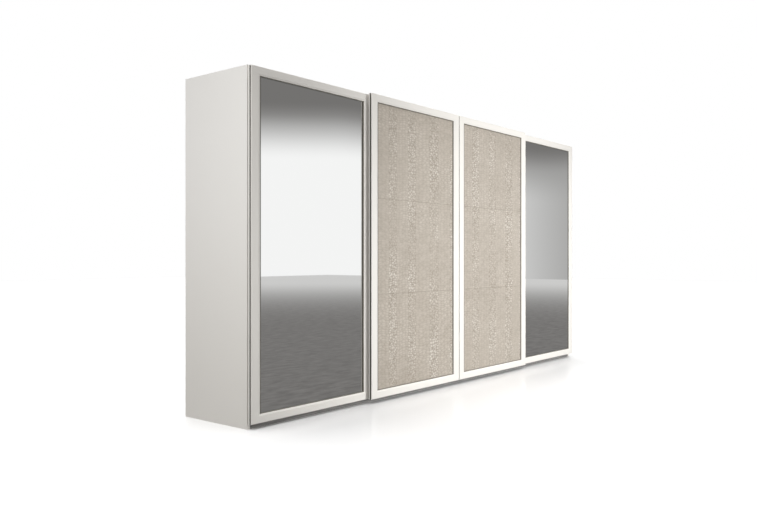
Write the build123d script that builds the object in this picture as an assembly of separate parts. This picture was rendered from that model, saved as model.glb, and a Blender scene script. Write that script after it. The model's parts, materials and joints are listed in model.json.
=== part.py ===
from build123d import *
import os

# A four-door sliding wardrobe: a board carcass with four bays, two mirror doors on an inner
# plane, two leather-faced doors on an outer plane, and the running gear that carries them.
# Millimetres. +X runs along the front, -Y points out of the front, +Z is up. The origin is on
# the floor, in the middle of the footprint.

# ---- overall sizes
WIDTH = 4800.0              # over the side panels
HEIGHT = 2400.0             # side panels and outer doors
SIDE_DEPTH = 660.0          # side panel, rear edge to front edge
BAYS = 4                    # one behind each door
LOW_SHELF_BAYS = (1, 2)     # counted from 0 at the left
OUTER_DOORS = (2, 3)        # counted from 1 at the left

# ---- boards
SIDE_T = 25.0
BOARD_T = 22.0              # partitions, tops, bottoms and shelves
BACK_T = 8.0
BACK_INSET = 12.0           # side panel's rear edge to the back panel
BOARD_SETBACK = 3.0         # side panel's front edge to the inner boards
SIDE_EDGE_R = 2.0
BOARD_EDGE_R = 1.0
BOARD_GAP = 0.5             # between neighbouring back panels
SHELF_GAP = 1.0             # shelf end to upright, each side

# ---- interior heights, to the upper face of each shelf
UPPER_SHELF_DROP = 348.0    # below the top panels' upper face
LOWER_SHELF_Z = (402.0, 702.0)
SHELF_SETBACK = 20.0        # behind the other boards' front edges

# ---- hanging rods
ROD_R = 14.0
ROD_DROP = 60.0             # shelf underside to the rod's centre line
SOCKET_R = 22.0
SOCKET_L = 14.0
SOCKET_FLOOR = 3.0
SOCKET_GAP = 0.2            # rod to socket wall, and rod end to socket floor

# ---- small fittings of the carcass
PIN_R = 2.5                 # shelf pins
PIN_L = 9.0
PIN_INSET = 60.0            # shelf edge to pin
CAP_R = 8.5                 # connector covers
CAP_T = 0.8
CAP_RISE = 34.0             # board face to cover centre
FOOT_R = 25.0
FOOT_PAD_H = 8.0
FOOT_STEM_R = 14.0
FOOT_SETBACK = 40.0         # plinth to the front row's stem centres
FOOT_REAR_INSET = 70.0      # back panel to the rear row's stem centres

# ---- doors
DOOR_T = 30.0
RUN_GAP = 12.0              # side panel to inner door, and inner door to outer door
OVERLAP = 44.0              # inner door behind outer door, closed
CENTRE_GAP = 8.0            # between the two outer doors, closed
STILE = 90.0                # door edge to sight edge
STILE_FLAT = 63.0
RAIL = 66.0
RAIL_FLAT = 49.0
EDGE_R = 4.0
BEAD_W = 2.5                # quick step at the end of the flat
BEAD_D = 2.0
LEDGE_W = 1.5               # level ledge between the step and the bevel
BEVEL_D = 9.0               # depth of the sight edge below the front face
PANEL_D = 11.0              # depth of the panel face below the front face
REBATE = 12.0               # frame lap over the panel
PANEL_T = 4.0
BACKING_T = 13.0
PANEL_GAP = 1.0             # panel edge to rebate wall
GRIP_W = 12.0               # depth of the finger groove in the door's edge
GRIP_LIP = 6.0              # front lip of the groove
GRIP_SLOT = 12.0            # groove opening, front to back

# ---- rollers and their hangers
ROLLER_R = 20.0
TREAD_D = 2.0               # depth of the roller's groove
ROLLER_W = 9.0
TREAD_W = 5.0
ROLLER_HOLE_R = 2.6
ROLLER_HOLES = 6
AXLE_R = 4.0
AXLE_GAP = 0.05
AXLE_HEAD_R = 6.5
AXLE_HEAD_T = 1.5
SIDE_PLAY = 0.5             # roller to cheek and to axle head
RIDE_GAP = 0.3              # roller tread to rail
HANGER_INSET = 150.0        # door edge to hanger centre
HANGER_W = 80.0
HANGER_T = 4.0              # inner hanger's arm, and every back plate
OUTER_ARM_T = 3.0
CHEEK_T = 3.0
CHEEK_DROP = 12.0           # below the axle
HANGER_LEG = 150.0          # back plate below the door's top edge
ARM_GAP = 3.7               # roller to the arm above it
TOP_MARGIN = 1.0            # outer arm to the top of the doors
ARM_PASS = 2.0              # outer arm over the inner door
INNER_RISE = 6.0            # inner door's top edge above its own arm

# ---- top track
TRACK_T = 4.0
RIDGE_H = 8.0
RIDGE_W = 3.0
TRACK_EDGE = 12.0           # ridge to the track's long edge
FRONT_RAIL = 30.0           # side panel's front edge back to the inner doors' ridge
RAIL_SPACING = 32.0         # back again to the outer doors' ridge
STOP_L = 20.0
STOP_W = 8.0
STOP_GAP = 1.0              # roller to stop

# ---- base and bottom track
BASE_T = 22.0
BASE_DEPTH = 58.0
BASE_SETBACK = 2.0
PLINTH_T = 16.0
PLINTH_GAP = 2.0
GUIDE_TRACK_T = 2.0
GUIDE_WALL_H = 6.0
GUIDE_WALL_T = 1.6
GUIDE_PIN_R = 4.0
GUIDE_PLAY = 0.7            # pin to channel wall
FRONT_CHANNEL = 14.0        # side panel's front edge back to the outer doors' channel
CHANNEL_SPACING = 22.0
GUIDE_T = 3.0
GUIDE_W = 50.0
GUIDE_LEG = 72.0
GUIDE_TIP = 7.0             # arm end beyond the pin's centre
GUIDE_GAP = 1.0             # arm to track, and pin to track floor
DOOR_PASS = 2.0             # inner door over the outer doors' guide arms
GUIDE_RISE = 4.0            # inner doors' guide arms above the door's bottom edge
GUIDE_ROOM = 17.0           # inner guide arm to the bottom panels

# ---- screws and wall brackets
SCREW_R = 4.5
SCREW_H = 2.0
SCREW_PITCH = 590.0
BRACKET_W = 40.0
BRACKET_T = 3.0
BRACKET_LEG = 50.0
BRACKET_H = 50.0
BRACKET_HOLE_R = 3.25
BRACKET_HOLE_Z = 34.0       # above the top panels
BRACKET_X = 1800.0          # from the middle of the wardrobe

# ---- worked out: across
HALF = WIDTH / 2
INNER_X = HALF - SIDE_T
BAY_PITCH = WIDTH / BAYS
DOOR_W = (HALF - CENTRE_GAP / 2 + OVERLAP) / 2
DOOR_LEFT = (-HALF, -CENTRE_GAP / 2 - DOOR_W, CENTRE_GAP / 2, HALF - DOOR_W)

# ---- worked out: front to back
FRONT_STACK = 2 * (RUN_GAP + DOOR_T)
FRONT_Y = FRONT_STACK - (SIDE_DEPTH + FRONT_STACK) / 2
REAR_Y = FRONT_Y + SIDE_DEPTH
BACK_Y = REAR_Y - BACK_INSET - BACK_T
INNER_BACK = RUN_GAP
OUTER_BACK = 2 * RUN_GAP + DOOR_T

# ---- worked out: bottom upwards
GUIDE_FLOOR_Z = BASE_T + GUIDE_TRACK_T
OUTER_GUIDE_Z = GUIDE_FLOOR_Z + GUIDE_WALL_H + GUIDE_GAP
DOOR_Z = OUTER_GUIDE_Z + GUIDE_T + DOOR_PASS
INNER_GUIDE_Z = DOOR_Z + GUIDE_RISE
BOTTOM_Z = INNER_GUIDE_Z + GUIDE_T + GUIDE_ROOM

# ---- worked out: top downwards
OUTER_ARM_Z = HEIGHT - TOP_MARGIN - OUTER_ARM_T
INNER_TOP_Z = OUTER_ARM_Z - ARM_PASS
INNER_ARM_Z = INNER_TOP_Z - INNER_RISE - HANGER_T
AXLE_Z = INNER_ARM_Z - ARM_GAP - ROLLER_R
RAIL_Z = AXLE_Z - (ROLLER_R - TREAD_D) - RIDE_GAP
TOP_Z = RAIL_Z - RIDGE_H - TRACK_T
UPPER_SHELF_Z = TOP_Z - UPPER_SHELF_DROP
ROD_Z = UPPER_SHELF_Z - BOARD_T - ROD_DROP


def front(distance):
    """The y of a plane this far in front of the side panels' front edges."""
    return FRONT_Y - distance


def slab(x, y, z):
    """A square-edged block over three (low, high) pairs."""
    sizes = [abs(high - low) for low, high in (x, y, z)]
    middle = [(low + high) / 2 for low, high in (x, y, z)]
    return Pos(*middle) * Box(*sizes)


def rod_along(axis, radius, start, length):
    """A round bar that begins at start and runs along +axis."""
    return Plane(origin=start, z_dir=axis) * Cylinder(
        radius, length, align=(Align.CENTER, Align.CENTER, Align.MIN)
    )


def board(x, y, z, radius=BOARD_EDGE_R):
    """A board whose long front edges are eased."""
    block = slab(x, y, z)
    face = block.faces().sort_by(Axis.Y)[0]
    long_axis = Axis.X if abs(x[1] - x[0]) > abs(z[1] - z[0]) else Axis.Z
    return fillet(face.edges().filter_by(long_axis), radius)


def bay_edges():
    """The x of the bays' centre lines at the uprights: sides' inner faces and partitions."""
    return (-INNER_X, -BAY_PITCH, 0.0, BAY_PITCH, INNER_X)


def bay_space(index):
    """Clear (low, high) x between the uprights of one bay."""
    edges = bay_edges()
    low = edges[index] + (0 if index == 0 else BOARD_T / 2)
    high = edges[index + 1] - (0 if index == BAYS - 1 else BOARD_T / 2)
    return low, high


def carcass():
    """Side panels, partitions, tops, bottoms and backs."""
    board_y = (front(-BOARD_SETBACK), BACK_Y)
    edges = bay_edges()
    spans = list(zip(edges[:-1], edges[1:]))
    upright_z = (BOTTOM_Z + BOARD_T, TOP_Z - BOARD_T)
    side_y = (FRONT_Y, REAR_Y)
    left = board((-HALF, -INNER_X), side_y, (0, HEIGHT), SIDE_EDGE_R)
    right = board((INNER_X, HALF), side_y, (0, HEIGHT), SIDE_EDGE_R)
    nodes = {"side_panel_left": [left], "side_panel_right": [right]}
    for name, x in (("left", -BAY_PITCH), ("centre", 0.0), ("right", BAY_PITCH)):
        upright = board((x - BOARD_T / 2, x + BOARD_T / 2), board_y, upright_z)
        nodes["partition_" + name] = [upright]
    nodes["top_panels"] = [board(x, board_y, (TOP_Z - BOARD_T, TOP_Z)) for x in spans]
    nodes["bottom_panels"] = [board(x, board_y, (BOTTOM_Z, BOTTOM_Z + BOARD_T)) for x in spans]
    back_y = (BACK_Y, BACK_Y + BACK_T)
    nodes["back_panels"] = [
        slab((low + BOARD_GAP / 2, high - BOARD_GAP / 2), back_y, (BOTTOM_Z, TOP_Z))
        for low, high in spans
    ]
    return nodes


def shelf(bay, top):
    """One loose shelf in a bay, and the four pins that it lies on."""
    low, high = bay_space(bay)
    face_y = front(-BOARD_SETBACK - SHELF_SETBACK)
    rear_y = BACK_Y - SHELF_GAP
    plank = board((low + SHELF_GAP, high - SHELF_GAP), (face_y, rear_y), (top - BOARD_T, top))
    pins = []
    for y in (face_y + PIN_INSET, rear_y - PIN_INSET):
        for x in (low, high - PIN_L):
            pins.append(rod_along((1, 0, 0), PIN_R, (x, y, top - BOARD_T - PIN_R), PIN_L))
    return plank, pins


def interior():
    """Shelves, shelf pins, hanging rods, rod sockets and connector covers."""
    nodes = {"upper_shelves": [], "lower_shelves": [], "shelf_pins": []}
    layout = [("upper_shelves", bay, UPPER_SHELF_Z) for bay in range(BAYS)]
    layout += [("lower_shelves", bay, top) for bay in LOW_SHELF_BAYS for top in LOWER_SHELF_Z]
    for name, bay, top in layout:
        plank, pins = shelf(bay, top)
        nodes[name].append(plank)
        nodes["shelf_pins"] += pins

    nodes["hanging_rods"] = []
    nodes["rod_sockets"] = []
    rod_y = (FRONT_Y + BACK_Y) / 2
    end_gap = SOCKET_FLOOR + SOCKET_GAP
    for bay in range(BAYS):
        low, high = bay_space(bay)
        length = high - low - 2 * end_gap
        nodes["hanging_rods"].append(
            rod_along((1, 0, 0), ROD_R, (low + end_gap, rod_y, ROD_Z), length)
        )
        for x, inward in ((low, 1), (high, -1)):
            cup = rod_along((inward, 0, 0), SOCKET_R, (x, rod_y, ROD_Z), SOCKET_L)
            bore_start = (x + inward * SOCKET_FLOOR, rod_y, ROD_Z)
            cup -= rod_along((inward, 0, 0), ROD_R + SOCKET_GAP, bore_start, SOCKET_L)
            nodes["rod_sockets"].append(cup)

    nodes["connector_caps"] = []
    cap_rows = (FRONT_Y + PIN_INSET, BACK_Y - PIN_INSET)
    cap_levels = (BOTTOM_Z + BOARD_T + CAP_RISE, TOP_Z - BOARD_T - CAP_RISE)
    for bay in range(BAYS):
        low, high = bay_space(bay)
        for x, inward in ((low, 1), (high, -1)):
            for y in cap_rows:
                for z in cap_levels:
                    cap = rod_along((inward, 0, 0), CAP_R, (x, y, z), CAP_T)
                    nodes["connector_caps"].append(cap)
    return nodes


def base():
    """Base rail, plinth, levelling feet and the bottom track."""
    base_y = (front(-BASE_SETBACK), front(-BASE_SETBACK - BASE_DEPTH))
    plinth_front = BASE_SETBACK + BASE_DEPTH + PLINTH_GAP
    plinth_y = (front(-plinth_front), front(-plinth_front - PLINTH_T))
    span = (-INNER_X, INNER_X)
    nodes = {
        "base_rail": [slab(span, base_y, (0, BASE_T))],
        "plinth": [slab(span, plinth_y, (0, BOTTOM_Z))],
        "levelling_feet": [],
    }

    front_row = front(-plinth_front - PLINTH_T - FOOT_SETBACK)
    rear_row = BACK_Y - FOOT_REAR_INSET
    for step in range(1, 2 * BAYS):
        x = -HALF + step * BAY_PITCH / 2
        for y in (front_row, rear_row):
            foot = rod_along((0, 0, 1), FOOT_R, (x, y, 0), FOOT_PAD_H)
            foot += rod_along((0, 0, 1), FOOT_STEM_R, (x, y, FOOT_PAD_H), BOTTOM_Z - FOOT_PAD_H)
            nodes["levelling_feet"].append(foot)

    half_channel = GUIDE_PIN_R + GUIDE_PLAY
    channels = (FRONT_CHANNEL, FRONT_CHANNEL + CHANNEL_SPACING)
    track_front = channels[0] - half_channel - GUIDE_WALL_T
    track_rear = channels[1] + half_channel + GUIDE_WALL_T
    track = slab(span, (front(-track_front), front(-track_rear)), (BASE_T, GUIDE_FLOOR_Z))
    for channel in channels:
        for wall in (channel - half_channel - GUIDE_WALL_T, channel + half_channel):
            wall_y = (front(-wall), front(-wall - GUIDE_WALL_T))
            track += slab(span, wall_y, (GUIDE_FLOOR_Z, GUIDE_FLOOR_Z + GUIDE_WALL_H))
    nodes["bottom_track"] = [track]
    return nodes


def top_gear():
    """Top track, its stops and screws, and the brackets that hold the wardrobe to a wall."""
    span = (-INNER_X, INNER_X)
    rails = (FRONT_RAIL, FRONT_RAIL + RAIL_SPACING)
    bed_z = TOP_Z + TRACK_T
    bed_y = (front(-rails[0] + TRACK_EDGE), front(-rails[1] - TRACK_EDGE))
    track = slab(span, bed_y, (TOP_Z, bed_z))
    ridges = []
    for rail in rails:
        ridge_y = (front(-rail + RIDGE_W / 2), front(-rail - RIDGE_W / 2))
        ridges.append(slab(span, ridge_y, (bed_z, RAIL_Z)))
    for ridge in ridges:
        track += ridge

    wheel_reach = ROLLER_R + STOP_GAP
    outer_stop = HALF - HANGER_INSET + wheel_reach
    centre_stop = CENTRE_GAP / 2 + HANGER_INSET - wheel_reach - STOP_L
    stops = []
    for rail, ridge in zip(rails, ridges):
        stop_y = (front(-rail + STOP_W / 2), front(-rail - STOP_W / 2))
        for low in (outer_stop, centre_stop, -outer_stop - STOP_L, -centre_stop - STOP_L):
            stops.append(slab((low, low + STOP_L), stop_y, (bed_z, AXLE_Z)) - ridge)

    screws = []
    count = int(WIDTH / SCREW_PITCH)
    screw_y = front(-(rails[0] + rails[1]) / 2)
    for step in range(count):
        x = (step - (count - 1) / 2) * SCREW_PITCH
        screws.append(rod_along((0, 0, 1), SCREW_R, (x, screw_y, bed_z), SCREW_H))

    brackets = []
    for x in (-BRACKET_X, BRACKET_X):
        width = (x - BRACKET_W / 2, x + BRACKET_W / 2)
        leg = slab(width, (REAR_Y - BRACKET_LEG, REAR_Y), (TOP_Z, TOP_Z + BRACKET_T))
        leg += slab(width, (REAR_Y - BRACKET_T, REAR_Y), (TOP_Z, TOP_Z + BRACKET_H))
        hole_start = (x, REAR_Y - 2 * BRACKET_T, TOP_Z + BRACKET_HOLE_Z)
        leg -= rod_along((0, 1, 0), BRACKET_HOLE_R, hole_start, 3 * BRACKET_T)
        brackets.append(leg)
        screw_at = (x, REAR_Y - BRACKET_LEG + 2 * SCREW_R, TOP_Z + BRACKET_T)
        screws.append(rod_along((0, 0, 1), SCREW_R, screw_at, SCREW_H))
    return {
        "top_track": [track],
        "track_stops": stops,
        "screws": screws,
        "wall_brackets": brackets,
    }


def opening(x, z, face, inset_x, inset_z, depth):
    """The outline of a door opening, at one depth below the door's front face."""
    middle = ((x[0] + x[1]) / 2, face + depth, (z[0] + z[1]) / 2)
    plane = Plane(origin=middle, x_dir=(1, 0, 0), z_dir=(0, 1, 0))
    return plane * Rectangle(x[1] - x[0] - 2 * inset_x, z[1] - z[0] - 2 * inset_z)


def door_frame(x, z, face):
    """The whole frame before it is cut into its pieces: step, ledge, bevel and rear rebate."""
    rear = face + DOOR_T
    block = slab(x, (face, rear), z)
    block = fillet(block.faces().sort_by(Axis.Y)[0].edges(), EDGE_R)
    step_x = STILE_FLAT + BEAD_W
    step_z = RAIL_FLAT + BEAD_W
    block -= loft([
        opening(x, z, face, STILE_FLAT, RAIL_FLAT, 0),
        opening(x, z, face, step_x, step_z, BEAD_D),
    ])
    block -= loft([
        opening(x, z, face, step_x + LEDGE_W, step_z + LEDGE_W, BEAD_D),
        opening(x, z, face, STILE, RAIL, BEVEL_D),
    ])
    sight_x = (x[0] + STILE, x[1] - STILE)
    sight_z = (z[0] + RAIL, z[1] - RAIL)
    block -= slab(sight_x, (face, rear), sight_z)
    rebate_x = (sight_x[0] - REBATE, sight_x[1] + REBATE)
    rebate_z = (sight_z[0] - REBATE, sight_z[1] + REBATE)
    block -= slab(rebate_x, (face + PANEL_D, rear), rebate_z)
    return block


def door_leaf(x, z, face, panel_name):
    """Stiles, rails, edge strips, facing panel and backing board of one door."""
    rear = face + DOOR_T
    depth = (face, rear)
    frame = door_frame(x, z, face)
    inner_left = x[0] + GRIP_W
    inner_right = x[1] - GRIP_W
    stiles = [
        frame & slab((inner_left, x[0] + STILE), depth, z),
        frame & slab((x[1] - STILE, inner_right), depth, z),
    ]
    rail_x = (x[0] + STILE, x[1] - STILE)
    rails = [
        frame & slab(rail_x, depth, (z[0], z[0] + RAIL)),
        frame & slab(rail_x, depth, (z[1] - RAIL, z[1])),
    ]
    strips = []
    for strip_x in ((x[0], inner_left), (inner_right, x[1])):
        strips.append(frame & slab(strip_x, (face, face + GRIP_LIP), z))
        strips.append(frame & slab(strip_x, (face + GRIP_LIP + GRIP_SLOT, rear), z))
    lap = REBATE - PANEL_GAP
    panel_x = (rail_x[0] - lap, rail_x[1] + lap)
    panel_z = (z[0] + RAIL - lap, z[1] - RAIL + lap)
    panel_rear = face + PANEL_D + PANEL_T
    return {
        "stiles": stiles,
        "rails": rails,
        "edge_strips": strips,
        panel_name: [slab(panel_x, (face + PANEL_D, panel_rear), panel_z)],
        "backing": [slab(panel_x, (panel_rear, panel_rear + BACKING_T), panel_z)],
    }


def hanger(x, door_back, door_top, rail, arm_z, arm_t):
    """One roller hanger: back plate, arm over the track, cheek and stub axle."""
    width = (x - HANGER_W / 2, x + HANGER_W / 2)
    plate_face = door_back - HANGER_T
    cheek_rear = -rail + ROLLER_W / 2 + SIDE_PLAY
    cheek_front = cheek_rear + CHEEK_T
    plate = slab(
        width, (front(door_back), front(plate_face)), (door_top - HANGER_LEG, arm_z + arm_t)
    )
    arm = slab(width, (front(plate_face), front(cheek_rear)), (arm_z, arm_z + arm_t))
    cheek = slab(width, (front(cheek_front), front(cheek_rear)), (AXLE_Z - CHEEK_DROP, arm_z))
    shank = ROLLER_W + 2 * SIDE_PLAY
    axle = rod_along((0, 1, 0), AXLE_R, (x, front(cheek_rear), AXLE_Z), shank + AXLE_HEAD_T)
    axle += rod_along((0, 1, 0), AXLE_HEAD_R, (x, front(cheek_rear) + shank, AXLE_Z), AXLE_HEAD_T)
    return [plate, arm, cheek, axle]


def roller(x, rail):
    """One grooved roller on its ridge."""
    start_y = front(-rail + ROLLER_W / 2)
    wheel = rod_along((0, 1, 0), ROLLER_R, (x, start_y, AXLE_Z), ROLLER_W)
    groove_y = front(-rail + TREAD_W / 2)
    groove = rod_along((0, 1, 0), ROLLER_R + TREAD_D, (x, groove_y, AXLE_Z), TREAD_W)
    groove -= rod_along((0, 1, 0), ROLLER_R - TREAD_D, (x, groove_y, AXLE_Z), TREAD_W)
    wheel -= groove
    wheel -= rod_along((0, 1, 0), AXLE_R + AXLE_GAP, (x, start_y, AXLE_Z), ROLLER_W)
    web_r = (ROLLER_R - TREAD_D + AXLE_R) / 2
    for turn in range(ROLLER_HOLES):
        offset = Vector(web_r, 0, 0).rotate(Axis.Y, 360 * turn / ROLLER_HOLES)
        hole_at = (x + offset.X, start_y, AXLE_Z + offset.Z)
        wheel -= rod_along((0, 1, 0), ROLLER_HOLE_R, hole_at, ROLLER_W)
    return wheel


def guide(x, door_back, channel, arm_z):
    """One bottom guide: back plate, arm under the carcass and pin in its channel."""
    width = (x - GUIDE_W / 2, x + GUIDE_W / 2)
    plate_face = door_back - HANGER_T
    plate = slab(width, (front(door_back), front(plate_face)), (arm_z, arm_z + GUIDE_LEG))
    arm_y = (front(plate_face), front(-channel - GUIDE_TIP))
    arm = slab(width, arm_y, (arm_z, arm_z + GUIDE_T))
    pin_z = GUIDE_FLOOR_Z + GUIDE_GAP
    pin = rod_along((0, 0, 1), GUIDE_PIN_R, (x, front(-channel), pin_z), arm_z - pin_z)
    return [plate, arm, pin]


def door(index):
    """Every piece of one door, numbered 1 to 4 from the left."""
    is_outer = index in OUTER_DOORS
    back = OUTER_BACK if is_outer else INNER_BACK
    rail = FRONT_RAIL + RAIL_SPACING if is_outer else FRONT_RAIL
    channel = FRONT_CHANNEL if is_outer else FRONT_CHANNEL + CHANNEL_SPACING
    arm_z = OUTER_ARM_Z if is_outer else INNER_ARM_Z
    arm_t = OUTER_ARM_T if is_outer else HANGER_T
    guide_z = OUTER_GUIDE_Z if is_outer else INNER_GUIDE_Z
    top = HEIGHT if is_outer else INNER_TOP_Z
    left = DOOR_LEFT[index - 1]
    x = (left, left + DOOR_W)
    z = (DOOR_Z, top)
    pieces = door_leaf(x, z, front(back + DOOR_T), "leather_panel" if is_outer else "mirror")
    stations = {"left": x[0] + HANGER_INSET, "right": x[1] - HANGER_INSET}
    pieces["hangers"] = []
    pieces["guides"] = []
    for side, at in stations.items():
        pieces["hangers"] += hanger(at, back, top, rail, arm_z, arm_t)
        pieces["guides"] += guide(at, back, channel, guide_z)
        pieces["roller_" + side] = [roller(at, rail)]
    return {f"door_{index}_{name}": solids for name, solids in pieces.items()}


def main():
    nodes = {}
    for group in (carcass(), interior(), base(), top_gear(), *(door(index + 1) for index in range(BAYS))):
        nodes.update(group)
    os.makedirs("parts", exist_ok=True)
    for name, solids in nodes.items():
        pieces = [piece for solid in solids for piece in solid.solids()]
        shape = pieces[0] if len(pieces) == 1 else Compound(children=pieces)
        export_step(shape, f"parts/{name}.step")
    print(len(nodes), "nodes")


main()
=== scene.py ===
import json
from math import pi, radians

import bpy
import numpy as np
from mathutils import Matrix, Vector


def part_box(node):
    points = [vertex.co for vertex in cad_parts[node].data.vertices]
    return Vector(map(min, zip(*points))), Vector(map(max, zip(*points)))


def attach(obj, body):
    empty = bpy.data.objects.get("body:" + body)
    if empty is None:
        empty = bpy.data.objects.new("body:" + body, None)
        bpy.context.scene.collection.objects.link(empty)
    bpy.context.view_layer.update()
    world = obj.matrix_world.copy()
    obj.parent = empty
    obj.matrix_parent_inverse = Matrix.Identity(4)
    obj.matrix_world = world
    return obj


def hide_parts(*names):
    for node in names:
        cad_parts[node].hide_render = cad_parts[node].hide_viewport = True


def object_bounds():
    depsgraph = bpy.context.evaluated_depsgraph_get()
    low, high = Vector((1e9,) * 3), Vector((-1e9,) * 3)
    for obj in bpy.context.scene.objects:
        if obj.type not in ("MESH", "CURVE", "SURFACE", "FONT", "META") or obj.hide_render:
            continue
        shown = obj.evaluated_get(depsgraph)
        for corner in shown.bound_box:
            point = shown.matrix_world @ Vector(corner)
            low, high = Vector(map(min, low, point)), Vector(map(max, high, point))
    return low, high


# A wide four-door sliding wardrobe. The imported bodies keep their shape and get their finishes
# here; the leather facings of the two middle doors are built here as embossed hides.
# Metres. +X runs along the front, -Y points out of the front, +Z is up.

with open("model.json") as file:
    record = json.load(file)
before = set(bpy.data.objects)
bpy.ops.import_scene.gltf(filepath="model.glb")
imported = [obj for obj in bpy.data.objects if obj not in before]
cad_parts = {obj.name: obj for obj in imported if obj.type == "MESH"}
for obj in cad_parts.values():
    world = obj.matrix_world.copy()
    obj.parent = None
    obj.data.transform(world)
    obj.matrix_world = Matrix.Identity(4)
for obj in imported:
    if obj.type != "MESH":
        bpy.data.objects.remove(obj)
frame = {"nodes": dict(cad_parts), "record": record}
cad_low, cad_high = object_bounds()
NODES = frame["nodes"]
RECORD = frame["record"]

MM = 0.001
DOORS = (1, 2, 3, 4)
LEATHER_DOORS = (2, 3)
MIRROR_DOORS = (1, 4)
GROOVE_MIDDLE = 12.0 * MM       # finger groove in the door edge: its middle, behind the door face
GROOVE_HALF = 6.0 * MM
GROOVE_SHADE_EDGE = (0.4 * MM, 0.2 * MM)   # soft edge of the painted shade in the groove, outer and inner

# ---- hides
HIDES_PER_DOOR = 3
HIDE_CELL = 3.0 * MM
RELIEF = 1.5 * MM               # highest scale on the fullest part of a hide, above the panel face
SWELL = 0.45                    # how much of that the padding adds, against 1 for the scales
CREASE = 2.6                    # width of the valley between scales, mm
LAP = 11.0 * MM                 # hide tucked under the door frame
LAP_BLEND = 6.0 * MM
SWELL_EDGE = 55.0 * MM          # padding thins out over this much of the panel's edge
SEAM = 5.0 * MM                 # pinched edge where two hides meet
SEAM_LEVEL = 0.4                # share of the relief that is left in the seam
BELLY = (42.0, 48.0, 48.0, 42.0)    # column widths, mm, of the broad flat scales
FLANK = (31.0, 25.0, 22.0, 26.0)    # and of the small domed ones between them
SPARE = 110.0                       # columns planned past each side of a hide, mm
ROW = 19.0                          # mean height of a scale, mm
BELLY_PLAY = 0.34                   # how far a scale's middle strays, in shares of its width
FLANK_PLAY = 0.80
BELLY_FLOOR = 0.36                  # level of the shallow creases of the belly
PRESS_LOW = 0.55                    # weakest print, against 1 for the strongest
BAND_SPREAD = (0.8, 1.3)            # narrowest and widest band, in shares of the widths above
COLUMN_SPREAD = (0.92, 1.08)
PATTERN_ROWS = 512                  # rows before the random strays and tones repeat

# ---- studio
CAMERA_AT = (-5.7125, -4.118, 1.135)
CAMERA_TURN = radians(-50.67)
LENS = 36.14
FLOOR_SIZE = 60.0


# ------------------------------------------------------------------ shader tools
class Wire:
    """One output of a shader node. Arithmetic on wires adds Math nodes."""

    def __init__(self, owner, socket):
        self.owner = owner
        self.socket = socket

    def math(self, operation, *values):
        return self.owner.node("Math", {"operation": operation}, dict(enumerate(values)))

    def __add__(self, other):
        return self.math("ADD", self, other)

    def __sub__(self, other):
        return self.math("SUBTRACT", self, other)

    def __rsub__(self, other):
        return self.math("SUBTRACT", other, self)

    def __mul__(self, other):
        return self.math("MULTIPLY", self, other)

    def __truediv__(self, other):
        return self.math("DIVIDE", self, other)

    def __pow__(self, other):
        return self.math("POWER", self, other)

    __radd__ = __add__
    __rmul__ = __mul__

    def sine(self):
        return self.math("SINE", self)

    def absolute(self):
        return self.math("ABSOLUTE", self)

    def least(self, other):
        return self.math("MINIMUM", self, other)

    def most(self, other):
        return self.math("MAXIMUM", self, other)

    def between(self, low, high, new_low=0.0, new_high=1.0):
        """Maps low..high smoothly onto new_low..new_high and holds the ends."""
        values = {"Value": self, 1: low, 2: high, 3: new_low, 4: new_high}
        return self.owner.node("MapRange", {"interpolation_type": "SMOOTHSTEP"}, values)


class Nodes:
    """A node tree that is written in short calls."""

    def __init__(self, tree):
        self.tree = tree

    def plug(self, node, values):
        for key, value in values.items():
            socket = node.inputs[key]
            if isinstance(value, Wire):
                self.tree.links.new(value.socket, socket)
            elif socket.type == "RGBA" and len(value) == 3:
                socket.default_value = (*value, 1.0)
            else:
                socket.default_value = value

    def node(self, kind, settings=None, values=None, out=0):
        """Adds one node: its settings first, then its sockets' values or links."""
        made = self.tree.nodes.new("ShaderNode" + kind)
        for name, value in (settings or {}).items():
            setattr(made, name, value)
        self.plug(made, values or {})
        return Wire(self, made.outputs[out])

    def split(self, vector):
        """A vector's three numbers."""
        return [self.node("SeparateXYZ", None, {0: vector}, axis) for axis in "XYZ"]

    def blend(self, factor, low, high):
        """Mixes two colours by a number wire."""
        values = {0: factor, 6: self.colour(low), 7: self.colour(high)}
        return self.node("Mix", {"data_type": "RGBA"}, values, 2)

    def colour(self, value):
        return value if isinstance(value, Wire) else (*value, 1.0)


class Finish(Nodes):
    """One finish: a material, its principled shader and the nodes that vary it."""

    def __init__(self, name, shader):
        self.material = bpy.data.materials.new(name)
        self.material.use_nodes = True
        super().__init__(self.material.node_tree)
        self.shader = self.tree.nodes["Principled BSDF"]
        self.plug(self.shader, shader)

    def drive(self, **wires):
        """Links wires to the shader's varying sockets, such as base_color or roughness."""
        for name, wire in wires.items():
            socket = name.replace("_", " ").title()
            self.plug(self.shader, {socket: wire})

    def place(self):
        return self.node("TexCoord", out="Object")

    def axes(self):
        return self.split(self.place())

    def noise(self, scale, detail=2.0, stretch=(1, 1, 1), rough=0.5):
        place = self.node("Mapping", None, {"Vector": self.place(), "Scale": stretch})
        values = {"Vector": place, "Scale": scale, "Detail": detail, "Roughness": rough}
        return self.node("TexNoise", None, values, "Fac")

    def cells(self, scale, stretch=(1, 1, 1), feature="F1"):
        place = self.node("Mapping", None, {"Vector": self.place(), "Scale": stretch})
        values = {"Vector": place, "Scale": scale}
        return self.node("TexVoronoi", {"feature": feature}, values, "Distance")

    def attribute(self, name):
        """A number stored at each point of the mesh."""
        return self.node("Attribute", {"attribute_name": name}, None, "Fac")

    def bump(self, height, distance, strength=1.0):
        values = {"Height": height, "Distance": distance, "Strength": strength}
        self.drive(normal=self.node("Bump", None, values, "Normal"))


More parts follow.
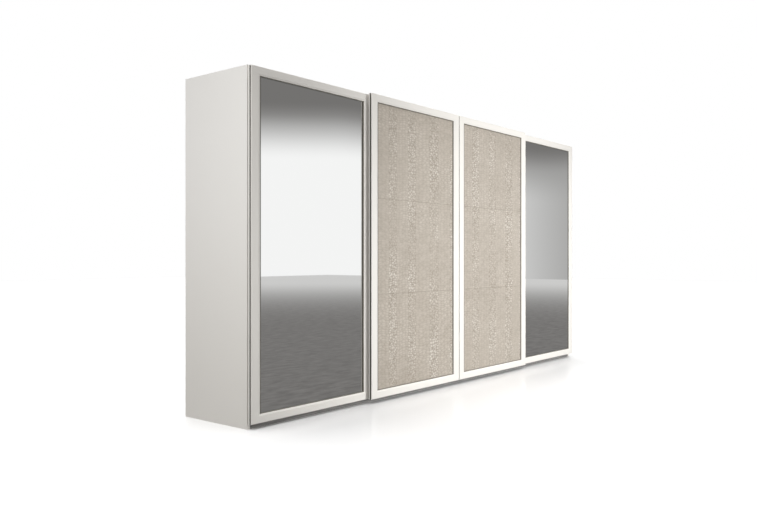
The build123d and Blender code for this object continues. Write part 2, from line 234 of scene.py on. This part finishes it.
# ------------------------------------------------------------------ finishes
def side_lacquer():
    """Satin greige lacquer on the tall outside panels, with painted shade that makes them darker
    towards the bottom.
    """
    f = Finish("side_lacquer", {"Roughness": 0.42, "Coat Weight": 0.12, "Coat Roughness": 0.3})
    clouds = f.noise(1.1, 3)
    fine = f.noise(38, 4)
    low, tall = cad_low.z, cad_high.z
    # Painted shade: the paint is lighter up high and darker towards the floor.
    height = f.axes()[2].between(low, tall * 0.9)
    paint = f.blend(height, (0.775, 0.75, 0.705), (0.805, 0.79, 0.76))
    paint = f.blend(clouds * 0.2, paint, (0.73, 0.705, 0.655))
    f.drive(base_color=f.blend(fine * 0.10, paint, (0.84, 0.83, 0.80)))
    f.drive(roughness=f.noise(6, 3).between(0.3, 0.7, 0.36, 0.48))
    f.bump(f.noise(900, 2) + f.noise(260, 2) * 0.7, 0.00006, 0.5)
    return f


def frame_lacquer():
    """Pearl ivory lacquer on the door frames, with a dark bronze-coloured painted shade down in the
    finger grooves.
    """
    f = Finish("frame_lacquer", {"Roughness": 0.34, "Coat Weight": 0.3, "Coat Roughness": 0.18})
    pearl = f.cells(2600).between(0.1, 0.6)
    paint = f.blend(pearl * 0.25, (0.79, 0.765, 0.72), (0.88, 0.865, 0.835))
    paint = f.blend(f.noise(2.3, 3) * 0.18, paint, (0.72, 0.70, 0.66))
    x, y, _ = f.axes()
    groove_shade = None
    for door in DOORS:
        low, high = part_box(f"door_{door}_stiles")
        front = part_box(f"door_{door}_edge_strips")[0].y
        reach = (x - (low.x + high.x) / 2).absolute() - (high.x - low.x) / 2
        depth = (y - (front + GROOVE_MIDDLE)).absolute()
        outer, inner = GROOVE_SHADE_EDGE
        inside = reach.between(-outer, -inner)
        inside = inside * depth.between(GROOVE_HALF + outer, GROOVE_HALF + inner)
        groove_shade = inside if groove_shade is None else groove_shade.most(inside)
    # Painted shade: the finger grooves get a dark colour in place of the shadow inside them.
    f.drive(base_color=f.blend(groove_shade, paint, (0.16, 0.148, 0.128)))
    f.drive(roughness=f.noise(9, 3).between(0.3, 0.7, 0.28, 0.38))
    f.bump(f.noise(700, 2), 0.00005, 0.5)
    return f


def mirror_glass():
    """Silvered mirror with a faint green rim and a few wiping marks."""
    f = Finish("mirror_glass", {"Metallic": 1.0, "Roughness": 0.02})
    x, _, z = f.axes()
    wipes = f.noise(3.0, 4, (1, 1, 0.35), 0.6).between(0.55, 0.8)
    edge = None
    for door in MIRROR_DOORS:
        low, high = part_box(f"door_{door}_mirror")
        across = (x - (low.x + high.x) / 2).absolute() - ((high.x - low.x) / 2 - LAP)
        up = (z - (low.z + high.z) / 2).absolute() - ((high.z - low.z) / 2 - LAP)
        rim = across.most(up)
        edge = rim if edge is None else edge.least(rim)
    silver = f.blend(wipes * 0.05, (0.90, 0.905, 0.90), (0.80, 0.81, 0.81))
    rim_mask = edge.between(-0.006, -0.0005)
    f.drive(base_color=f.blend(rim_mask * 0.55, silver, (0.52, 0.60, 0.57)))
    f.drive(roughness=wipes * 0.025 + 0.012)
    return f


def embossed_leather():
    """Taupe leather with a pearl wax on the tops of the scales, painted highlights on those tops and
    painted shade in the creases.
    """
    f = Finish("embossed_leather", {"Roughness": 0.38, "Coat Weight": 0.5, "Coat Roughness": 0.25,
                                    "Sheen Weight": 0.15, "Sheen Roughness": 0.4})
    rise = f.attribute("rise")
    tone = f.attribute("tone")
    # Painted shade: the creases get a darker colour than the tops of the scales.
    top = rise.between(0.05, 0.8)
    dye_and_painted_light = f.blend(top, (0.285, 0.246, 0.200), (0.500, 0.447, 0.382))
    dye_and_painted_light = f.blend(tone * 0.35, dye_and_painted_light, (0.575, 0.525, 0.46))
    # Painted highlight: a pale colour on the highest tops of the scales.
    dye_and_painted_light = f.blend(rise.between(0.60, 0.95) * 0.6, dye_and_painted_light, (0.80, 0.77, 0.715))
    clouds = f.noise(1.6, 3).between(0.35, 0.7)
    dye_and_painted_light = f.blend(clouds * 0.25, dye_and_painted_light, (0.50, 0.45, 0.385))
    pores = f.cells(900).between(0.0, 0.35)
    f.drive(base_color=f.blend(pores * 0.5 + 0.5, (0.36, 0.32, 0.27), dye_and_painted_light))
    f.drive(roughness=rise.between(0.2, 1.0, 0.5, 0.33) + f.noise(60, 2) * 0.08 - 0.04)
    f.drive(metallic=top * 0.18)
    f.bump(f.cells(700) * 0.7 + f.noise(420, 3) * 0.8, 0.00022, 0.6)
    return f


def woven_board(name, base, shade, light):
    """Melamine board with a printed and pressed linen weave, the same on every face."""
    f = Finish(name, {"Roughness": 0.55, "Specular IOR Level": 0.35})
    x, y, z = f.axes()
    warp = f.noise(260, 3, (1, 1, 0.06))
    weft = f.noise(260, 3, (0.06, 0.06, 1))
    depth = f.noise(260, 3, (1, 0.06, 1))
    threads = ((x + y) * 2 * pi * 420).sine() * 0.5 + (z * 2 * pi * 420).sine() * 0.5
    weave = (warp + weft + depth) / 3
    paint = f.blend(weave.between(0.38, 0.62), shade, base)
    paint = f.blend(threads.between(0.1, 0.9) * 0.25, paint, light)
    f.drive(base_color=f.blend(f.noise(1.4, 2) * 0.15, paint, shade))
    f.drive(roughness=weave.between(0.35, 0.65, 0.62, 0.48))
    f.bump(weave * 1.4 + threads * 0.25, 0.00018, 0.55)
    return f


def back_board():
    """Backs and door backings: smooth thin board, faintly mottled, with a long grain."""
    f = Finish("back_board", {"Roughness": 0.6, "Specular IOR Level": 0.3})
    grain = f.noise(55, 5, (1, 1, 0.05), 0.6)
    flecks = f.cells(330, (1, 1, 0.25)).between(0.05, 0.5)
    paint = f.blend(grain.between(0.35, 0.65), (0.50, 0.455, 0.39), (0.61, 0.57, 0.505))
    f.drive(base_color=f.blend(flecks * 0.3 + 0.7, (0.43, 0.39, 0.33), paint))
    f.drive(roughness=grain.between(0.3, 0.7, 0.68, 0.52))
    f.bump(grain + flecks * 0.4, 0.00014, 0.5)
    return f


def base_board():
    """Mid grey matt laminate of the base rail and plinth."""
    f = Finish("base_board", {"Roughness": 0.5})
    grain = f.noise(120, 4, (0.04, 1, 1))
    speckle = f.cells(1400).between(0.0, 0.5)
    paint = f.blend(grain.between(0.35, 0.65), (0.17, 0.166, 0.16), (0.25, 0.245, 0.236))
    f.drive(base_color=f.blend(speckle * 0.3 + 0.7, (0.32, 0.315, 0.305), paint))
    f.drive(roughness=grain.between(0.3, 0.7, 0.42, 0.58))
    f.bump(grain + speckle * 0.3, 0.0001, 0.5)
    return f


def drawn_metal(name, dark, bright, rough, stretch, coat=0.0):
    """Metal with drawing or brushing lines along the stretched axis."""
    f = Finish(name, {"Metallic": 1.0, "Roughness": rough, "Coat Weight": coat})
    lines = f.noise(700, 4, stretch, 0.65)
    patches = f.noise(14, 3)
    shine = f.blend(lines.between(0.3, 0.7), dark, bright)
    f.drive(base_color=f.blend(patches * 0.2, shine, dark))
    f.drive(roughness=lines.between(0.3, 0.7, rough * 0.8, rough * 1.25))
    f.bump(lines, 0.00004, 0.35)
    return f


def zinc_steel():
    """Zinc plate: cool spangles with a passivation tint, and softened handling marks."""
    f = Finish("zinc_steel", {"Metallic": 1.0, "Roughness": 0.34})
    spangle = f.cells(90)
    tint = f.noise(30, 3).between(0.35, 0.7)
    plate = f.blend(spangle.between(0.0, 0.7), (0.50, 0.52, 0.54), (0.68, 0.70, 0.71))
    f.drive(base_color=f.blend(tint * 0.3, plate, (0.62, 0.60, 0.50)))
    f.drive(roughness=spangle.between(0.0, 0.8, 0.26, 0.42))
    f.bump(f.noise(500, 3), 0.00005, 0.5)
    return f


def moulded(name, base, worn, rough, grain=900):
    """Moulded plastic or rubber with a fine spark-eroded grain and rubbed high spots."""
    f = Finish(name, {"Roughness": rough})
    rub = f.noise(70, 3).between(0.5, 0.75)
    f.drive(base_color=f.blend(rub * 0.6, base, worn))
    f.drive(roughness=f.noise(160, 2).between(0.3, 0.7, rough * 0.85, min(1.0, rough * 1.15)))
    f.bump(f.cells(grain) + f.noise(grain, 2) * 0.5, 0.00006, 0.5)
    return f


def studio_floor():
    """Pale seamless studio floor with a soft polish."""
    f = Finish("studio_floor", {"Roughness": 0.5, "Coat Weight": 0.28, "Coat Roughness": 0.08})
    f.drive(base_color=f.blend(f.noise(0.7, 3) * 0.3, (0.93, 0.93, 0.93), (0.91, 0.91, 0.91)))
    return f


def mirrored_floor():
    """A grey ground that glows, though it is no lamp: reflections and bounced light see it in place
    of the white floor, as painted reflection and painted bounce light.
    """
    f = Finish("mirrored_floor", {"Base Color": (0, 0, 0), "Roughness": 1.0,
                                  "Emission Strength": 1.0})
    pile = f.noise(5.0, 5, (1, 2.5, 1), 0.6).between(0.25, 0.75)
    x, y, _ = f.axes()
    away = (x * x + y * y) ** 0.5
    near = f.blend(pile, (0.135, 0.130, 0.126), (0.205, 0.198, 0.192))
    # The glow is a painted reflection of a dim floor, paler far away.
    f.drive(emission_color=f.blend(away.between(6.0, 28.0), near, (0.62, 0.615, 0.61)))
    return f


FINISHES = {
    "side_lacquer": side_lacquer(),
    "frame_lacquer": frame_lacquer(),
    "mirror_glass": mirror_glass(),
    "embossed_leather": embossed_leather(),
    "interior_board": woven_board(
        "interior_board", (0.64, 0.60, 0.53), (0.49, 0.45, 0.385), (0.74, 0.71, 0.65)),
    "back_board": back_board(),
    "base_board": base_board(),
    "track_aluminium": drawn_metal(
        "track_aluminium", (0.60, 0.60, 0.61), (0.80, 0.80, 0.81), 0.30, (0.01, 1, 1)),
    "chrome_tube": drawn_metal(
        "chrome_tube", (0.72, 0.73, 0.74), (0.86, 0.87, 0.88), 0.09, (0.02, 1, 1)),
    "socket_metal": drawn_metal(
        "socket_metal", (0.58, 0.58, 0.59), (0.76, 0.76, 0.77), 0.24, (1, 1, 1), 0.1),
    "bright_steel": drawn_metal(
        "bright_steel", (0.52, 0.52, 0.53), (0.74, 0.74, 0.75), 0.27, (1, 0.1, 1)),
    "zinc_steel": zinc_steel(),
    "roller_nylon": moulded("roller_nylon", (0.78, 0.77, 0.72), (0.62, 0.61, 0.57), 0.42),
    "cap_plastic": moulded("cap_plastic", (0.58, 0.545, 0.48), (0.66, 0.63, 0.57), 0.5),
    "black_plastic": moulded("black_plastic", (0.018, 0.018, 0.019), (0.045, 0.045, 0.045), 0.45),
    "stop_rubber": moulded("stop_rubber", (0.022, 0.021, 0.02), (0.06, 0.058, 0.055), 0.75, 500),
}

for part in RECORD["subparts"]:
    for slot in NODES[part["node"]].material_slots:
        slot.material = FINISHES[part["material_slot"]].material


# ------------------------------------------------------------------ embossed hides
def smooth(value, low, high):
    """0 below low, 1 above high, with a soft step between."""
    t = np.clip((value - low) / (high - low), 0, 1)
    return t * t * (3 - 2 * t)


def wander(position, seed, wavelengths, size):
    """A slow, repeatable sideways drift, as a sum of sine waves."""
    dice = np.random.default_rng(seed)
    drift = np.zeros_like(position)
    for wavelength in wavelengths:
        drift += np.sin(position * 2 * pi / wavelength + dice.uniform(0, 2 * pi))
    return drift * size / len(wavelengths)


def column_plan(width, seed):
    """Column edges (mm) across a hide, and for each column whether it is belly or flank."""
    dice = np.random.default_rng(seed)
    edges, kinds = [-SPARE - dice.uniform(0, 60)], []
    band = 0
    while edges[-1] < width + SPARE:
        spread = dice.uniform(*BAND_SPREAD)
        for column in BELLY if band % 2 else FLANK:
            edges.append(edges[-1] + column * spread * dice.uniform(*COLUMN_SPREAD))
            kinds.append(band % 2)
        band += 1
    return np.array(edges), np.array(kinds)


def scale_relief(u, v, width, seed):
    """Height 0..1 of the emboss and a random tone for each scale, over u, v in mm.

    Every scale grows around its own middle, which strays from a grid of columns and rows.
    """
    edges, kinds = column_plan(width, seed)
    number = np.arange(len(edges))
    u = u + wander(v, seed + 1, (610, 230, 97), 7.0)
    v = v + wander(u, seed + 3, (380, 150), 7.0) + wander(v, seed + 4, (300, 117, 61), 6.0)
    column = np.floor(np.interp(u, edges, number)).astype(int)
    row = np.floor(v / ROW).astype(int)

    table = np.random.default_rng(seed + 5).uniform(0, 1, (3, len(kinds), PATTERN_ROWS))
    play = np.where(kinds == 1, BELLY_PLAY, FLANK_PLAY)
    near = np.full(u.shape, np.inf)
    second = near.copy()
    tone, across, up = np.zeros((3, *u.shape))
    home = column.copy()
    for step_u in (-1, 0, 1):
        for step_v in (-1, 0, 1):
            c = column + step_u
            r = row + step_v
            stray_u, stray_v, shade = table[:, c, r % PATTERN_ROWS]
            middle_u = np.interp(c + 0.5 + (stray_u - 0.5) * play[c], number, edges)
            middle_v = (r + 0.5 + (stray_v - 0.5) * play[c]) * ROW
            distance = np.hypot(u - middle_u, v - middle_v)
            closer = distance < near
            second = np.where(closer, near, np.minimum(second, distance))
            near = np.where(closer, distance, near)
            tone = np.where(closer, shade, tone)
            across = np.where(closer, u - middle_u, across)
            up = np.where(closer, v - middle_v, up)
            home = np.where(closer, c, home)
    dome = smooth((second - near) / 2, 0.0, CREASE)
    half_width = (edges[home + 1] - edges[home]) / 2
    crown = 1 - 0.25 * (across / half_width) ** 2 - 0.35 * (2 * up / ROW) ** 2
    crown = dome * np.clip(crown, 0.3, 1)
    belly = BELLY_FLOOR + (0.30 + 0.08 * tone) * crown
    flank = (0.70 + 0.30 * tone) * crown
    press = wander(v + 0.4 * u, seed + 6, (1500, 560), 1.0)
    press = press + wander(u - 0.3 * v, seed + 7, (900, 260), 0.7)
    press = PRESS_LOW + (1 - PRESS_LOW) * smooth(press, -0.9, 0.9)
    rise = np.where(kinds[home] == 1, belly, flank)
    return BELLY_FLOOR + (rise - BELLY_FLOOR) * press, tone


def hide(name, low, high, bottom, top, seed, body, joined_below, joined_above):
    """One embossed hide from bottom to top of a leather panel, as a closed sheet."""
    columns = round((high.x - low.x) / HIDE_CELL) + 1
    rows = round((top - bottom) / HIDE_CELL) + 1
    x, z = np.meshgrid(np.linspace(low.x, high.x, columns), np.linspace(bottom, top, rows))
    u = (x - low.x) / MM
    v = (z - low.z) / MM
    rise, tone = scale_relief(u, v, (high.x - low.x) / MM, seed)
    tuck = np.minimum(np.minimum(x - low.x, high.x - x), np.minimum(z - low.z, high.z - z))
    rise = rise * smooth(tuck, LAP, LAP + LAP_BLEND)
    swell = SWELL * smooth(tuck, LAP, SWELL_EDGE)
    for edge, joined in ((bottom, joined_below), (top, joined_above)):
        if joined:
            pinch = SEAM_LEVEL + (1 - SEAM_LEVEL) * smooth(np.abs(z - edge), 0, SEAM)
            rise = rise * pinch
            swell = swell * pinch
    y = low.y - (rise + swell) * RELIEF / (1 + SWELL)
    grid = np.stack([x, y, z], axis=-1).reshape(-1, 3)

    index = np.arange(rows * columns).reshape(rows, columns)
    front = np.stack([index[:-1, :-1], index[:-1, 1:], index[1:, 1:], index[1:, :-1]], -1)
    ring = np.concatenate([index[0, :-1], index[:-1, -1], index[-1, :0:-1], index[:0:-1, 0]])
    behind = grid[ring].copy()
    behind[:, 1] = high.y
    back = np.arange(len(ring)) + len(grid)
    walls = np.stack([np.roll(ring, -1), ring, back, np.roll(back, -1)], -1)

    mesh = bpy.data.meshes.new(name)
    faces = front.reshape(-1, 4).tolist() + walls.tolist() + [back.tolist()]
    mesh.from_pydata(np.concatenate([grid, behind]).tolist(), [], faces)
    for label, field in (("rise", rise), ("tone", tone)):
        values = np.concatenate([field.reshape(-1), np.zeros(len(ring))]).astype(np.float32)
        mesh.attributes.new(label, "FLOAT", "POINT").data.foreach_set("value", values)
    rounded = [True] * ((rows - 1) * (columns - 1)) + [False] * (len(ring) + 1)
    mesh.polygons.foreach_set("use_smooth", rounded)
    mesh.materials.append(FINISHES["embossed_leather"].material)
    mesh.validate()
    piece = bpy.data.objects.new(name, mesh)
    bpy.context.collection.objects.link(piece)
    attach(piece, body)
    return piece


for door in LEATHER_DOORS:
    node = f"door_{door}_leather_panel"
    low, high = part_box(node)
    levels = np.linspace(low.z, high.z, HIDES_PER_DOOR + 1)
    for number in range(HIDES_PER_DOOR):
        piece = hide(
            f"door_{door}_hide_{number + 1}", low, high, levels[number], levels[number + 1],
            100 * door, f"door_{door}", number > 0, number < HIDES_PER_DOOR - 1,
        )
        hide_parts(node)


# ------------------------------------------------------------------ studio
def plane(name, size, at, turn, finish):
    """A flat card of the studio."""
    half_x, half_y = size[0] / 2, size[1] / 2
    mesh = bpy.data.meshes.new(name)
    corners = [(-half_x, -half_y, 0), (half_x, -half_y, 0), (half_x, half_y, 0), (-half_x, half_y, 0)]
    mesh.from_pydata(corners, [], [(0, 1, 2, 3)])
    mesh.materials.append(finish.material)
    card = bpy.data.objects.new(name, mesh)
    card.location = at
    card.rotation_euler = turn
    bpy.context.collection.objects.link(card)
    return card


def lamp(name, kind, at, aim, power):
    """A lamp aimed at a point, left out of every reflection."""
    light = bpy.data.lights.new(name, kind)
    light.energy = power
    rig = bpy.data.objects.new(name, light)
    rig.location = at
    rig.rotation_euler = (Vector(aim) - Vector(at)).to_track_quat("-Z", "Y").to_euler()
    rig.visible_glossy = False
    bpy.context.collection.objects.link(rig)
    return light


# The camera sees the pale floor. Reflections and bounced light see the grey ground instead.
floor = plane("floor", (FLOOR_SIZE, FLOOR_SIZE), (0, 0, 0), (0, 0, 0), studio_floor())
floor.visible_glossy = floor.visible_diffuse = False
ground = plane("ground", (FLOOR_SIZE, FLOOR_SIZE), (0, 0, -0.01), (0, 0, 0), mirrored_floor())
ground.visible_camera = ground.visible_shadow = False

key = lamp("key", "SPOT", (1.4, -5.0, 0.9), (1.0, -0.3, 0.75), 985)
key.shadow_soft_size = 0.9
key.spot_size = radians(75)
key.spot_blend = 0.55
side = lamp("side", "AREA", (-5.0, -1.4, 2.1), (-2.4, -0.2, 1.1), 40)
side.size = 1.6
toe = lamp("toe", "AREA", (-1.3, -2.3, 0.2), (-1.3, -0.35, 0.03), 8)
toe.shape = "RECTANGLE"
toe.size, toe.size_y = 3.6, 0.15
zenith = lamp("zenith", "SUN", (0, 0, 6), (0, 0, 0), 1.8)
zenith.angle = radians(60)


def surround():
    """White behind the wardrobe; in front a dim room with a tall bright window to the right."""
    world = bpy.data.worlds.new("surround")
    world.use_nodes = True
    w = Nodes(world.node_tree)
    x, y, z = w.split(w.node("TexCoord", out="Generated"))
    turn = y.math("ARCTAN2", y, x)
    ahead = (y * -1).between(-0.15, 0.25)
    ceiling = z - turn.between(-0.45, -0.75, 0.105, 0.165)
    window = turn.between(-0.38, -0.64) * turn.between(-1.45, -0.95) * ceiling.between(0.02, -0.04)
    soffit = ceiling.between(0.0, 0.035) * z.between(0.6, 0.4)
    room = w.blend(soffit, (0.36, 0.355, 0.35), (0.19, 0.185, 0.18))
    room = w.blend(window, room, (1.0, 1.0, 1.0))
    light = w.blend(ahead, (1.0, 1.0, 1.0), room)
    seen = w.node("LightPath", out="Is Camera Ray")
    light = w.blend(seen, light, (1.0, 1.0, 1.0))
    w.plug(w.tree.nodes["Background"], {"Color": light})
    return world


bpy.context.scene.world = surround()
bpy.context.scene.view_settings.view_transform = "Standard"

camera = bpy.data.objects.new("camera", bpy.data.cameras.new("camera"))
camera.data.lens = LENS
camera.data.sensor_width = 36.0
camera.location = CAMERA_AT
camera.rotation_euler = (pi / 2, 0, CAMERA_TURN)
bpy.context.collection.objects.link(camera)
bpy.context.scene.camera = camera
